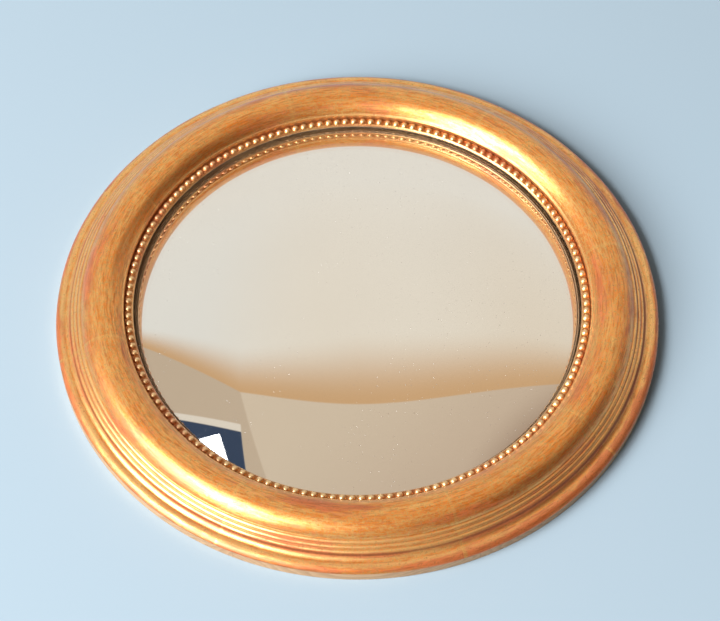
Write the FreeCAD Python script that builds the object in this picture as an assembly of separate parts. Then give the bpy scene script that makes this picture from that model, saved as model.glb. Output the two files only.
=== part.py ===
import FreeCAD, Part
import math
import os

# Convex butlers mirror, lying face up on its back.
# Millimetres. +Z is the front, z = 0 is the flat back, +Y is up when the mirror hangs.
# Every turned piece is a section of (radius, height) points revolved round Z.

# Glass: a bent disc of even thickness
glass_radius_of_curve = 310.0   # front face
glass_thickness = 4.0
glass_cover = 2.5               # width of glass hidden behind the wood's lip
glass_arris = 0.4               # ground edge
silvering_thickness = 0.2       # reflecting coat with its backing paint
silvering_setback = 0.4         # from the ground edge

# Moulding widths, from the sight edge outwards
sight_radius = 140.3            # half the visible glass
strip_width = 5.3               # pearl strip
shadow_gap = 0.3                # between the strip and the lip
lip_width = 1.1
cushion_width = 25.7
reed_count = 3
reed_width = 2.3
cove_width = 3.3
torus_width = 6.25
torus_overhang = 0.15           # past the bare side wall

# Moulding heights above the back
shoulder_height = 12.45         # rebate shoulder that the glass lies against
wood_lip_thickness = 1.25       # wood between the glass and the pearl strip
lip_rise = 4.8                  # thin lip above the strip's seat
cushion_rise = 8.3              # crest above the lip
reed_end_height = 13.0
cove_end_height = 9.9           # where the cove runs into the torus
torus_end_height = 7.0

lip_round = 0.4                 # inner edge of the lip
reed_rise = 0.7                 # bulge of a reed over its chord
cove_sink = 0.5                 # depth of the cove under its chord
torus_rise = 1.2                # bulge of the torus over its chord
gesso_thickness = 0.8
gesso_edge = 0.5                # lower edge of the gesso, under the end of the torus
back_arris = 0.5                # worn edge of the back

# Wood ring
lip_setback = 0.7               # strip overhangs the wood by this at the sight edge
segment_count = 8
spline_length = 24.0            # along the ring, half in each segment
spline_margin = 3.0             # each side, narrower than the cushion
spline_thickness = 4.0
spline_height = 8.0             # underside above the back
spline_corner = 3.0

# Rebate and what fills it
glass_edge_clearance = 1.0      # round the glass
board_thickness = 3.0
board_recess = 2.0              # board's back face above the back plane
board_ledge = 5.5               # step that the board lies on
board_clearance = 0.5           # round the board
packing_width = 6.5
packing_setback = 0.3           # from the rebate wall
packing_count = 4
packing_gap = 1.5               # between two lengths
point_count = 12
point_length = 16.0
point_width = 6.0
point_thickness = 0.4
point_bite = 7.0                # length inside the wood

# Pearls
strip_count = 4
pearl_pitch = 5.62
pearl_radius = 2.2
pearl_sink = 0.5                # centre under the strip's top face
pearl_setback = 3.05            # centre behind the sight edge
fillet_width = 1.0
fillet_foot = 0.2               # small upright edge under the fillet
strip_height = 1.4
strip_gap = 0.15                # between two lengths

# Hanger in its pocket
pocket_depth = 6.0
pocket_side_gap = 1.6           # beside the ring
pocket_tip_gap = 0.9            # beyond the ring's tip when it lies flat
pocket_corner = 6.0
pocket_wall = 4.0               # wood between the board's rebate and the pocket
strap_sheet = 1.0
strap_end_gap = 2.0             # from the strap's tail to the pocket's wall
strap_length = 15.0             # tail to hinge line
ring_wire_radius = 1.1
ring_half_width = 7.3           # to the middle of the wire
ring_corner = 2.0
ring_side = 1.7                 # straight part of each side
ring_play = 0.25                # round the wire in the strap's fold
ring_table_gap = 0.2            # the ring's tip hangs this far above the table
screw_shank_radius = 1.75
screw_hole_play = 0.25          # in the strap's hole
screw_length = 13.0             # under the head
screw_point = 3.5
screw_head_radius = 3.4
screw_head_height = 2.0
screw_rim_height = 1.1          # upright edge of the domed head
screw_slot_width = 0.9
screw_slot_depth = 0.9
screw_slot_length = 3.6

# Worked out from the sizes above
strip_outer = sight_radius + strip_width
lip_start = strip_outer + shadow_gap
cushion_start = lip_start + lip_width
cushion_end = cushion_start + cushion_width
cushion_middle = (cushion_start + cushion_end) / 2
reed_end = cushion_end + reed_count * reed_width
cove_end = reed_end + cove_width
torus_end = cove_end + torus_width
side_wall = torus_end - torus_overhang
wall_height = torus_end_height - gesso_edge
seat_height = shoulder_height + wood_lip_thickness
strip_top = seat_height + strip_height
lip_height = seat_height + lip_rise
wood_lip = sight_radius + lip_setback
pearl_circle = sight_radius + pearl_setback
pearls_per_strip = round(2 * math.pi * pearl_circle / pearl_pitch / strip_count)
glass_edge_radius = wood_lip + glass_cover
glass_rebate = glass_edge_radius + glass_edge_clearance
board_rebate = glass_rebate + board_ledge
board_radius = board_rebate - board_clearance
board_top = board_recess + board_thickness
curve_centre = shoulder_height - math.sqrt(glass_radius_of_curve ** 2 - wood_lip ** 2)
rear_curve = glass_radius_of_curve - glass_thickness
packing_curve = rear_curve - silvering_thickness
silvering_radius = glass_edge_radius - glass_arris - silvering_setback
packing_outer = glass_rebate - packing_setback
packing_inner = packing_outer - packing_width
pocket_inner = board_rebate + pocket_wall
strap_tail = pocket_inner + strap_end_gap
strap_width = 2 * (ring_half_width - ring_corner)
hinge_y = strap_tail + strap_length
screw_y = strap_tail + strap_width / 2
screw_seat = pocket_depth - 2 * strap_sheet
knuckle_inner = ring_wire_radius + ring_play
knuckle_outer = knuckle_inner + strap_sheet
hinge_z = pocket_depth - knuckle_outer
ring_reach = ring_corner + ring_side + ring_half_width
pocket_width = 2 * (ring_half_width + ring_wire_radius + pocket_side_gap)
pocket_outer = hinge_y + ring_reach + ring_wire_radius + pocket_tip_gap
ring_tilt = math.asin((hinge_z - ring_wire_radius - ring_table_gap) / ring_reach)

up = FreeCAD.Vector(0, 0, 1)
centre = FreeCAD.Vector(0, 0, 0)


def at(radius, height):
    return FreeCAD.Vector(radius, 0, height)


def line(start, end):
    return Part.LineSegment(start, end).toShape()


def chain(points):
    return [line(a, b) for a, b in zip(points, points[1:])]


def bow(start, end, rise):
    # arc over a chord, bulging to the left of its direction
    along = (end - start).normalize()
    side = FreeCAD.Vector(-along.z, 0, along.x)
    return Part.ArcOfCircle(start, (start + end) * 0.5 + side * rise, end)


def inner_arc(arc, gap):
    # the same arc, smaller or larger by gap towards the wood
    def moved(point):
        return arc.Center + (point - arc.Center).normalize() * (arc.Radius - gap)
    middle = arc.value((arc.FirstParameter + arc.LastParameter) / 2)
    return Part.ArcOfCircle(moved(arc.StartPoint), moved(middle), moved(arc.EndPoint))


def section(edges):
    return Part.Face(Part.Wire(edges))


def turned(face, sweep=360.0, start=0.0):
    solid = face.revolve(centre, up, sweep)
    if start:
        solid.rotate(centre, up, start)
    if solid.Volume < 0:
        solid.reverse()
    return solid


def box(x_size, y_size, z_size, x_middle, y_middle, z_low):
    corner = FreeCAD.Vector(x_middle - x_size / 2, y_middle - y_size / 2, z_low)
    return Part.makeBox(x_size, y_size, z_size, corner)


def dome_arc(radius_of_curve, start, end):
    # along one of the glass's curves, between two distances from the middle
    radii = (start, (start + end) / 2, end)
    heights = [curve_centre + math.sqrt(radius_of_curve ** 2 - radius ** 2) for radius in radii]
    return Part.ArcOfCircle(*[at(radius, height) for radius, height in zip(radii, heights)])


def round_corners(solid, radius):
    # rounds the upright edges of a block
    upright = [e for e in solid.Edges if abs(e.tangentAt(e.FirstParameter).z) > 0.99]
    return solid.makeFillet(radius, upright)


# ---- moulding lines, from the lip to the side wall

def cushion_arc():
    crest = at(cushion_middle, lip_height + cushion_rise)
    return Part.ArcOfCircle(at(cushion_start, lip_height), crest, at(cushion_end, lip_height))


def reed_points():
    drop = (lip_height - reed_end_height) / reed_count
    return [at(cushion_end + n * reed_width, lip_height - n * drop) for n in range(reed_count + 1)]


def cove_arc():
    return bow(at(reed_end, reed_end_height), at(cove_end, cove_end_height), -cove_sink)


def torus_arc():
    return bow(at(cove_end, cove_end_height), at(torus_end, torus_end_height), torus_rise)


def wood_section():
    cushion = inner_arc(cushion_arc(), gesso_thickness)
    reeds = reed_points()
    slope = (reeds[-1] - reeds[0]).normalize()
    reed_inset = FreeCAD.Vector(-slope.z, 0, slope.x) * gesso_thickness
    cove = cove_arc()
    torus = inner_arc(torus_arc(), gesso_thickness)
    cove_middle = cove.value((cove.FirstParameter + cove.LastParameter) / 2)
    wood_cove = Part.ArcOfCircle(
        reeds[-1] - reed_inset,
        cove_middle - reed_inset,
        cove.EndPoint - reed_inset,
    )
    lip_wood = lip_start + gesso_thickness
    edges = chain([
        at(board_rebate, 0),
        at(board_rebate, board_top),
        at(glass_rebate, board_top),
        at(glass_rebate, shoulder_height),
        at(wood_lip, shoulder_height),
        at(wood_lip, seat_height),
        at(lip_wood, seat_height),
        at(lip_wood, lip_height - gesso_thickness),
        cushion.StartPoint,
    ])
    edges.append(cushion.toShape())
    edges.append(line(cushion.EndPoint, wood_cove.StartPoint))
    edges.append(wood_cove.toShape())
    edges.append(line(wood_cove.EndPoint, torus.StartPoint))
    edges.append(torus.toShape())
    edges += chain([
        torus.EndPoint,
        at(side_wall, wall_height),
        at(side_wall, back_arris),
        at(side_wall - back_arris, 0),
        at(board_rebate, 0),
    ])
    return section(edges)


def gilded_section():
    # everything under the gilded surface; the wood is taken out of it later
    round_share = 1 - math.sqrt(0.5)
    lip = Part.ArcOfCircle(
        at(lip_start, lip_height - lip_round),
        at(lip_start + round_share * lip_round, lip_height - round_share * lip_round),
        at(lip_start + lip_round, lip_height),
    )
    cushion = cushion_arc()
    reeds = reed_points()
    torus = torus_arc()
    edges = [line(at(lip_start, seat_height), lip.StartPoint), lip.toShape()]
    edges += [line(lip.EndPoint, cushion.StartPoint), cushion.toShape()]
    for start, end in zip(reeds, reeds[1:]):
        edges.append(bow(start, end, reed_rise).toShape())
    edges.append(cove_arc().toShape())
    edges.append(torus.toShape())
    edges += chain([
        torus.EndPoint,
        at(side_wall, wall_height),
        at(cushion_middle, wall_height),
        at(cushion_middle, seat_height),
        at(lip_start, seat_height),
    ])
    return section(edges)


# ---- pieces

def gesso_coat():
    shell = gilded_section().cut(wood_section())
    return turned(shell.Faces[0])


def spline_tongue(degrees):
    width = cushion_width - 2 * spline_margin
    tongue = box(width, spline_length, spline_thickness, cushion_middle, 0, spline_height)
    tongue = round_corners(tongue, spline_corner)
    tongue.rotate(centre, up, degrees)
    return tongue


def segment_step():
    return 360.0 / segment_count


def segment_middle(number):
    # segment 1 is the top one, the rest follow anticlockwise seen from the front
    return 90.0 + number * segment_step()


def joint_splines():
    return [spline_tongue(segment_middle(n) + segment_step() / 2) for n in range(segment_count)]


def framing_point(degrees):
    outer = board_rebate + point_bite
    inner = outer - point_length
    half = point_width / 2
    waist = outer - point_bite
    plan = [
        FreeCAD.Vector(inner, -half / 2, 0),
        FreeCAD.Vector(waist, -half, 0),
        FreeCAD.Vector(outer, 0, 0),
        FreeCAD.Vector(waist, half, 0),
        FreeCAD.Vector(inner, half / 2, 0),
        FreeCAD.Vector(inner, -half / 2, 0),
    ]
    blade = section(chain(plan)).extrude(FreeCAD.Vector(0, 0, point_thickness))
    blade.translate(FreeCAD.Vector(0, 0, board_recess - point_thickness))
    blade.rotate(centre, up, degrees)
    return blade


def framing_points():
    step = 360.0 / point_count
    return [framing_point((n + 0.5) * step) for n in range(point_count)]


def hanger_pocket():
    # reaches below the back, so that the cut is clean
    length = pocket_outer - pocket_inner
    pocket = box(pocket_width, length, 2 * pocket_depth, 0, pocket_inner + length / 2, -pocket_depth)
    return round_corners(pocket, pocket_corner)


def screw_shaft():
    # screw_seat is the strap's outer face, under the screw's head
    shank_top = screw_seat + screw_length - screw_point
    profile = chain([
        at(0, screw_seat),
        at(screw_shank_radius, screw_seat),
        at(screw_shank_radius, shank_top),
        at(0, shank_top + screw_point),
        at(0, screw_seat),
    ])
    shaft = turned(section(profile))
    shaft.translate(FreeCAD.Vector(0, screw_y, 0))
    return shaft


def hanger_screw():
    low = screw_seat - screw_head_height
    rim = at(screw_head_radius, screw_seat - screw_rim_height)
    crown = Part.ArcOfCircle(at(-rim.x, rim.z), at(0, low), rim)
    crown.setParameterRange((crown.FirstParameter + crown.LastParameter) / 2, crown.LastParameter)
    edges = [crown.toShape()] + chain([
        crown.EndPoint,
        at(screw_head_radius, screw_seat),
        at(0, screw_seat),
        crown.StartPoint,
    ])
    head = turned(section(edges))
    for x_size, y_size in ((screw_slot_width, screw_slot_length), (screw_slot_length, screw_slot_width)):
        head = head.cut(box(x_size, y_size, screw_slot_depth, 0, 0, low))
    head.translate(FreeCAD.Vector(0, screw_y, 0))
    return head.fuse(screw_shaft()).removeSplitter()


def hanger_strap():
    # side view in the YZ plane: two layers of sheet, folded round the ring's bar
    def layer(y_end, z_low):
        return box(strap_width, y_end - strap_tail, strap_sheet, 0, (y_end + strap_tail) / 2, z_low)
    along = FreeCAD.Vector(1, 0, 0)
    fold_start = FreeCAD.Vector(-strap_width / 2, hinge_y, hinge_z)
    fold = Part.makeCylinder(knuckle_outer, strap_width, fold_start, along)
    bore = Part.makeCylinder(knuckle_inner, strap_width, fold_start, along)
    rear = layer(hinge_y, pocket_depth - strap_sheet)
    front = layer(hinge_y - knuckle_inner, screw_seat)
    strap = rear.fuse([front, fold]).cut(bore)
    tail = Part.makeCylinder(strap_width / 2, pocket_depth, FreeCAD.Vector(0, screw_y, 0))
    reach = hinge_y + knuckle_outer - screw_y
    plan = tail.fuse(box(strap_width, reach, pocket_depth, 0, screw_y + reach / 2, 0))
    hole_radius = screw_shank_radius + screw_hole_play
    hole = Part.makeCylinder(hole_radius, pocket_depth, FreeCAD.Vector(0, screw_y, 0))
    return strap.common(plan).cut(hole).removeSplitter()


def hanger_ring():
    # drawn flat in the XY plane with its bar on the X axis, then hung on the hinge line
    def spot(x, y):
        return FreeCAD.Vector(x, y, 0)

    def arc(start, middle, end):
        return Part.ArcOfCircle(start, middle, end).toShape()
    bar = ring_half_width - ring_corner
    low = ring_corner
    high = ring_corner + ring_side
    diagonal = ring_corner * (1 - math.sqrt(0.5))
    corner = ring_half_width - diagonal
    path = [
        line(spot(0, 0), spot(bar, 0)),
        arc(spot(bar, 0), spot(corner, diagonal), spot(ring_half_width, low)),
        line(spot(ring_half_width, low), spot(ring_half_width, high)),
        arc(spot(ring_half_width, high), spot(0, ring_reach), spot(-ring_half_width, high)),
        line(spot(-ring_half_width, high), spot(-ring_half_width, low)),
        arc(spot(-ring_half_width, low), spot(-corner, diagonal), spot(-bar, 0)),
        line(spot(-bar, 0), spot(0, 0)),
    ]
    wire_end = Part.Wire([Part.makeCircle(ring_wire_radius, spot(0, 0), FreeCAD.Vector(1, 0, 0))])
    ring = Part.Wire(path).makePipeShell([wire_end], True, False)
    ring.rotate(centre, FreeCAD.Vector(1, 0, 0), -math.degrees(ring_tilt))
    ring.translate(FreeCAD.Vector(0, hinge_y, hinge_z))
    return ring


def frame_segments():
    wood = wood_section()
    shared_cuts = joint_splines() + framing_points()
    half = segment_step() / 2
    segments = []
    for number in range(segment_count):
        segment = turned(wood, segment_step(), segment_middle(number) - half)
        cuts = [c for c in shared_cuts if c.BoundBox.intersect(segment.BoundBox)]
        if number == 0:
            cuts += [hanger_pocket(), screw_shaft()]
        segments.append(segment.cut(cuts))
    return segments


def mirror_glass():
    ground = glass_edge_radius - glass_arris
    front = dome_arc(glass_radius_of_curve, 0, ground)
    rear = dome_arc(rear_curve, ground, 0)
    edge = chain([
        front.EndPoint,
        at(glass_edge_radius, front.EndPoint.z - glass_arris),
        at(glass_edge_radius, rear.StartPoint.z),
        rear.StartPoint,
    ])
    axis = line(rear.EndPoint, front.StartPoint)
    return turned(section([front.toShape()] + edge + [rear.toShape(), axis]))


def silvering():
    outer = dome_arc(rear_curve, 0, silvering_radius)
    inner = dome_arc(packing_curve, silvering_radius, 0)
    rim = line(outer.EndPoint, inner.StartPoint)
    axis = line(inner.EndPoint, outer.StartPoint)
    return turned(section([outer.toShape(), rim, inner.toShape(), axis]))


def packing_strip(number):
    # its top follows the glass, its underside lies on the backing board
    top = dome_arc(packing_curve, silvering_radius, packing_inner)
    edges = [top.toShape()] + chain([
        top.EndPoint,
        at(packing_inner, board_top),
        at(packing_outer, board_top),
        at(packing_outer, top.StartPoint.z - silvering_thickness),
        top.StartPoint,
    ])
    step = 360.0 / packing_count
    gap = math.degrees(packing_gap / packing_outer)
    return turned(section(edges), step - gap, number * step + gap / 2)


def backing_board():
    return Part.makeCylinder(board_radius, board_thickness, FreeCAD.Vector(0, 0, board_recess))


def pearl_strip(number):
    band = chain([
        at(sight_radius, seat_height),
        at(sight_radius, seat_height + fillet_foot),
        at(sight_radius + fillet_width, strip_top),
        at(strip_outer - fillet_foot, strip_top),
        at(strip_outer, strip_top - fillet_foot),
        at(strip_outer, seat_height),
        at(sight_radius, seat_height),
    ])
    step = 360.0 / strip_count
    gap = math.degrees(strip_gap / strip_outer)
    strip = turned(section(band), step - gap, gap / 2)
    pearl_step = step / pearls_per_strip
    middle = at(pearl_circle, strip_top - pearl_sink)
    spread = 2 * pearl_radius
    under = box(2 * spread, 2 * spread, spread, pearl_circle, 0, seat_height - spread)
    pearl = Part.makeSphere(pearl_radius, middle).cut(under)
    beads = []
    for n in range(pearls_per_strip):
        bead = pearl.copy()
        bead.rotate(centre, up, (n + 0.5) * pearl_step)
        beads.append(bead)
    strip = strip.fuse(beads)
    strip.rotate(centre, up, number * step)
    return strip


def save(name, solids):
    shape = solids[0] if len(solids) == 1 else Part.makeCompound(solids)
    shape.exportStep("parts/" + name + ".step")
    valid = all(s.isValid() and s.Volume > 0 for s in shape.Solids)
    print(name, "solids", len(shape.Solids), "volume", round(shape.Volume, 1), "valid", valid)


os.makedirs("parts", exist_ok=True)
for index, piece in enumerate(frame_segments()):
    save("frame_segment_" + str(index + 1), [piece])
save("joint_splines", joint_splines())
save("gesso_coat", [gesso_coat()])
for index in range(strip_count):
    save("pearl_strip_" + str(index + 1), [pearl_strip(index)])
save("mirror_glass", [mirror_glass()])
save("silvering", [silvering()])
for index in range(packing_count):
    save("packing_strip_" + str(index + 1), [packing_strip(index)])
save("backing_board", [backing_board()])
save("framing_points", framing_points())
save("hanger_strap", [hanger_strap()])
save("hanger_ring", [hanger_ring()])
save("hanger_screw", [hanger_screw()])
print("hinge at y", round(hinge_y, 3), "z", round(hinge_z, 3), "tilt", round(math.degrees(ring_tilt), 3))
crown_height = curve_centre + glass_radius_of_curve
print("glass crown", round(crown_height, 3), "outer", round(torus_end, 3))
print("pearls", strip_count * pearls_per_strip)
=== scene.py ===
import bpy
import bmesh
import math
import numpy as np
from mathutils import Matrix, Quaternion, Vector, kdtree


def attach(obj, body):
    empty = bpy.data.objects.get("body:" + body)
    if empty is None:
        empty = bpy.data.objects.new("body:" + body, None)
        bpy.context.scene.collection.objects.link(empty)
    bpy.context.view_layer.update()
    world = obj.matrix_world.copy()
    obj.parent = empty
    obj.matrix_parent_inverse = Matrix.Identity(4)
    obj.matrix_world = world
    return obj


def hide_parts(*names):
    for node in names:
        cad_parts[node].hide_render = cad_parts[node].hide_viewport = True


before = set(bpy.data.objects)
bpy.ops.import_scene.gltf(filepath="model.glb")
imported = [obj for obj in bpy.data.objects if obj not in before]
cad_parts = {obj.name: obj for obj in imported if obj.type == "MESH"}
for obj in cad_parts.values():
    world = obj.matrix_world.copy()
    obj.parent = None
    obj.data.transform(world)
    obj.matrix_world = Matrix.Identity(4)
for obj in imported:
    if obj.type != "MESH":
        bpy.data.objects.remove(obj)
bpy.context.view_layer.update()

# Convex mirror, face up on its back. The scene is in metres. Sizes in the dictionaries are millimetres;
# only floorSize and the lamp's distance, width and height are metres, and the scales of noise are per metre.

mm = 0.001
print("frame loaded,", len(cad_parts), "nodes")


# small tools for meshes
def arcPoints(start, middle, end, count):
    # points on the circle through three places, both ends included
    (ax, ay), (bx, by), (cx, cy) = start, middle, end
    d = 2 * (ax * (by - cy) + bx * (cy - ay) + cx * (ay - by))
    sa, sb, sc = ax * ax + ay * ay, bx * bx + by * by, cx * cx + cy * cy
    x0 = (sa * (by - cy) + sb * (cy - ay) + sc * (ay - by)) / d
    y0 = (sa * (cx - bx) + sb * (ax - cx) + sc * (bx - ax)) / d
    radius = math.hypot(ax - x0, ay - y0)
    first = math.atan2(ay - y0, ax - x0)
    through = (math.atan2(by - y0, bx - x0) - first) % math.tau
    last = (math.atan2(cy - y0, cx - x0) - first) % math.tau
    if through > last:
        last -= math.tau
    turn = first + np.linspace(0, last, count)
    return np.column_stack([x0 + radius * np.cos(turn), y0 + radius * np.sin(turn)])


def bulge(start, end, rise, count):
    # arc over a chord, standing out to the left of its direction
    start, end = np.array(start), np.array(end)
    along = (end - start) / np.linalg.norm(end - start)
    side = np.array([-along[1], along[0]])
    return arcPoints(start, (start + end) / 2 + side * rise, end, count)


def evenly(points, spacing):
    # the same line with evenly spaced points
    steps = np.linalg.norm(np.diff(points, axis=0), axis=1)
    length = np.concatenate([[0], np.cumsum(steps)])
    places = np.linspace(0, length[-1], max(2, round(length[-1] / spacing) + 1))
    return np.column_stack([np.interp(places, length, points[:, k]) for k in (0, 1)])


def softened(points, width):
    # rounds a line's corners as a thick coat does; width counts points
    reach = np.arange(-3 * width, 3 * width + 1)
    weights = np.exp(-0.5 * (reach / width) ** 2)
    weights /= weights.sum()
    ends = 3 * width
    before = 2 * points[0] - points[ends:0:-1]
    after = 2 * points[-1] - points[-2:-ends - 2:-1]
    longer = np.vstack([before, points, after])
    return np.column_stack([np.convolve(longer[:, k], weights, "valid") for k in (0, 1)])


def normals(points):
    along = np.gradient(points, axis=0)
    along /= np.linalg.norm(along, axis=1)[:, None]
    return np.column_stack([-along[:, 1], along[:, 0]])


def wobble(angle, across, waves, timesRound, lean, seed):
    # smooth unevenness round the ring, without a seam; between about -1 and 1
    pick = np.random.default_rng(seed)
    total = np.zeros(np.broadcast(angle, across).shape)
    for _ in range(waves):
        around = pick.integers(*timesRound)
        outward = pick.uniform(-lean, lean)
        total += np.sin(around * angle + outward * across + pick.uniform(0, math.tau))
    return total / math.sqrt(waves)


def addPiece(name, points, faces, material, nodes, sharp=38, merge=0.002):
    # a new mesh in millimetres that stands for CAD nodes on the mirror's body
    mesh = bpy.data.meshes.new(name)
    mesh.from_pydata(np.asarray(points) * mm, [], faces)
    shape = bmesh.new()
    shape.from_mesh(mesh)
    bmesh.ops.remove_doubles(shape, verts=shape.verts, dist=merge * mm)
    bmesh.ops.recalc_face_normals(shape, faces=shape.faces)
    shape.to_mesh(mesh)
    shape.free()
    mesh.shade_smooth()
    mesh.set_sharp_from_angle(angle=math.radians(sharp))
    mesh.materials.append(material)
    piece = bpy.data.objects.new(name, mesh)
    bpy.context.collection.objects.link(piece)
    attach(piece, "mirror")
    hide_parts(*nodes)
    print(name, len(mesh.vertices), "points")
    return piece


def ringFaces(rows, steps, closed=True):
    # faces between the rows of an outline that is turned all the way round
    row, step = np.meshgrid(np.arange(rows if closed else rows - 1), np.arange(steps), indexing="ij")
    nextRow, nextStep = (row + 1) % rows, (step + 1) % steps
    corners = [row * steps + step, nextRow * steps + step, nextRow * steps + nextStep, row * steps + nextStep]
    return np.stack(corners, axis=-1).reshape(-1, 4).tolist()


def turned(outline, steps):
    # points of a closed outline of (radius, height), turned round Z
    angle = np.arange(steps) * math.tau / steps
    radius, height = outline[:, :1], outline[:, 1:]
    points = np.stack([radius * np.cos(angle), radius * np.sin(angle), height + 0 * angle], axis=-1)
    return points.reshape(-1, 3)


# small tools for materials
class Graph:
    # wires the nodes of one tree; what a call gives is an output socket

    def __init__(self, tree):
        self.tree = tree

    def feed(self, socket, value):
        # a socket takes another node's output or a plain value
        if isinstance(value, bpy.types.NodeSocket):
            self.tree.links.new(value, socket)
        elif socket.type == "RGBA" and len(value) == 3:
            socket.default_value = (*value, 1)
        else:
            socket.default_value = value

    def node(self, kind, inputs=None, output=0, **settings):
        made = self.tree.nodes.new("ShaderNode" + kind)
        for name, value in settings.items():
            setattr(made, name, value)
        for name, value in (inputs or {}).items():
            self.feed(made.inputs[name], value)
        return made.outputs[output]

    def math(self, operation, *values, clamp=False):
        return self.node("Math", dict(enumerate(values)), operation=operation, use_clamp=clamp)

    def plus(self, first, second):
        return self.math("ADD", first, second)

    def minus(self, first, second, clamp=False):
        return self.math("SUBTRACT", first, second, clamp=clamp)

    def times(self, first, second):
        return self.math("MULTIPLY", first, second)

    def over(self, first, second):
        return self.math("DIVIDE", first, second)

    def larger(self, first, second):
        return self.math("MAXIMUM", first, second)

    def weighed(self, shares, *values):
        # the sum of the values, each times its share
        total = 0.0
        for share, value in zip(shares, values):
            total = self.math("MULTIPLY_ADD", value, share, total)
        return total

    def vector(self, operation, *values, output=0):
        return self.node("VectorMath", dict(enumerate(values)), output, operation=operation)

    def scaled(self, vector, factor):
        return self.node("VectorMath", {0: vector, "Scale": factor}, operation="SCALE")

    def parts(self, vector):
        # its x, y and z
        return list(self.node("SeparateXYZ", {"Vector": vector}).node.outputs)

    def place(self):
        # the point in the object's own frame, in metres
        return self.node("TexCoord", output="Object")

    def radius(self, place):
        # its distance from the mirror's axis
        return self.vector("LENGTH", self.vector("MULTIPLY", place, (1, 1, 0)), output=1)

    def noise(self, place, scale, detail, roughness=0.5, **more):
        given = {"Vector": place, "Scale": scale, "Detail": detail, "Roughness": roughness}
        return self.node("TexNoise", given | more)

    def span(self, value, low, high, smooth=True):
        # 0 at low, 1 at high
        limits = {"Value": value, "From Min": low, "From Max": high}
        return self.node("MapRange", limits, interpolation_type="SMOOTHSTEP" if smooth else "LINEAR")

    def outside(self, value, low, high):
        # 1 at low, 0 at high
        return self.minus(1.0, self.span(value, low, high))

    def mix(self, share, first, second):
        # of two colours
        return self.node("Mix", {0: share, 6: first, 7: second}, 2, data_type="RGBA")

    def choose(self, share, first, second):
        # of two numbers
        return self.node("Mix", {0: share, 2: first, 3: second})

    def group(self, tree, inputs=None):
        return self.node("Group", inputs, node_tree=tree)

    def bump(self, height, strength, depth):
        return self.node("Bump", {"Height": height, "Strength": strength, "Distance": depth * mm})


def newMaterial(name):
    material = bpy.data.materials.new(name)
    material.use_nodes = True
    material.node_tree.nodes.clear()
    return material, Graph(material.node_tree)


def surface(g, shader, kind="Material"):
    end = g.tree.nodes.new("ShaderNodeOutput" + kind)
    g.tree.links.new(shader, end.inputs["Surface"])


def newGroup(name, inputs, outputs):
    # inputs is {name: default}, outputs are names; all of them are single numbers
    tree = bpy.data.node_groups.new(name, "ShaderNodeTree")
    for label, value in inputs.items():
        socket = tree.interface.new_socket(name=label, in_out="INPUT", socket_type="NodeSocketFloat")
        socket.default_value = value
    for label in outputs:
        tree.interface.new_socket(name=label, in_out="OUTPUT", socket_type="NodeSocketFloat")
    start = tree.nodes.new("NodeGroupInput")
    end = tree.nodes.new("NodeGroupOutput")
    return tree, Graph(tree), start.outputs, end.inputs


# effects that several materials share
effectValues = {
    "streakSpan": (0.28, 0.72),  # of the noise, from no streak to a full one
    "streakDetail": 3.0,
    "streakRoughness": 0.6,
    "speckWarp": 0.35,
    "speckWarpScale": 3.0,
    "speckSpread": 2.5,  # the higher, the fewer large ones
    "speckBlur": 0.05,
}


def makeRingStreaks():
    # fine marks that run round the ring, as a turned and brushed surface has
    v = effectValues
    sizes = {"Length mm": 12.0, "Width mm": 0.5, "Seed": 0.0}
    tree, g, given, out = newGroup("ringStreaks", sizes, ["Streaks"])
    place = g.scaled(g.place(), 1 / mm)
    radius = g.radius(place)
    roundWay = g.vector("NORMALIZE", g.vector("MULTIPLY", place, (1, 1, 0)))
    turns = g.scaled(roundWay, g.over(radius, given["Length mm"]))
    outward = g.node("CombineXYZ", {"Z": g.over(radius, given["Width mm"])})
    rise = g.plus(g.over(g.parts(place)[2], given["Width mm"]), given["Seed"])
    spot = {"Vector": g.vector("ADD", turns, outward), "W": rise, "Scale": 1.0,
            "Detail": v["streakDetail"], "Roughness": v["streakRoughness"]}
    noise = g.node("TexNoise", spot, noise_dimensions="4D")
    g.feed(out["Streaks"], g.span(noise, *v["streakSpan"], smooth=False))
    return tree


def makeSpecks():
    # scattered small spots of uneven size
    v = effectValues
    sizes = {"Spacing mm": 3.0, "Size": 0.2, "Seed": 0.0}
    tree, g, given, out = newGroup("specks", sizes, ["Specks"])
    place = g.scaled(g.place(), g.over(1 / mm, given["Spacing mm"]))
    warp = g.noise(place, v["speckWarpScale"], 2.0).node.outputs[1]
    bent = g.vector("ADD", place, g.scaled(g.vector("SUBTRACT", warp, (0.5, 0.5, 0.5)), v["speckWarp"]))
    moved = g.vector("ADD", bent, g.node("CombineXYZ", {"X": given["Seed"], "Y": given["Seed"]}))
    cells = g.node("TexVoronoi", {"Vector": moved, "Scale": 1.0}, feature="F1")
    own = g.parts(cells.node.outputs["Color"])[0]
    reach = g.times(given["Size"], g.math("POWER", own, v["speckSpread"]))
    g.feed(out["Specks"], g.span(g.minus(reach, cells), 0.0, v["speckBlur"]))
    return tree


leafValues = {
    "lapAngles": (11.9, 59.0, 106.6, 151.8, -166.9, -116.2, -70.6, -35.3),  # degrees from +X, on the cushion
    "lapWidth": 3.2,
    "lapWander": 1.6,
    "lapBlur": 0.15,
    "lapFade": 2.4,
    "waverScale": 160.0,
}


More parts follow.
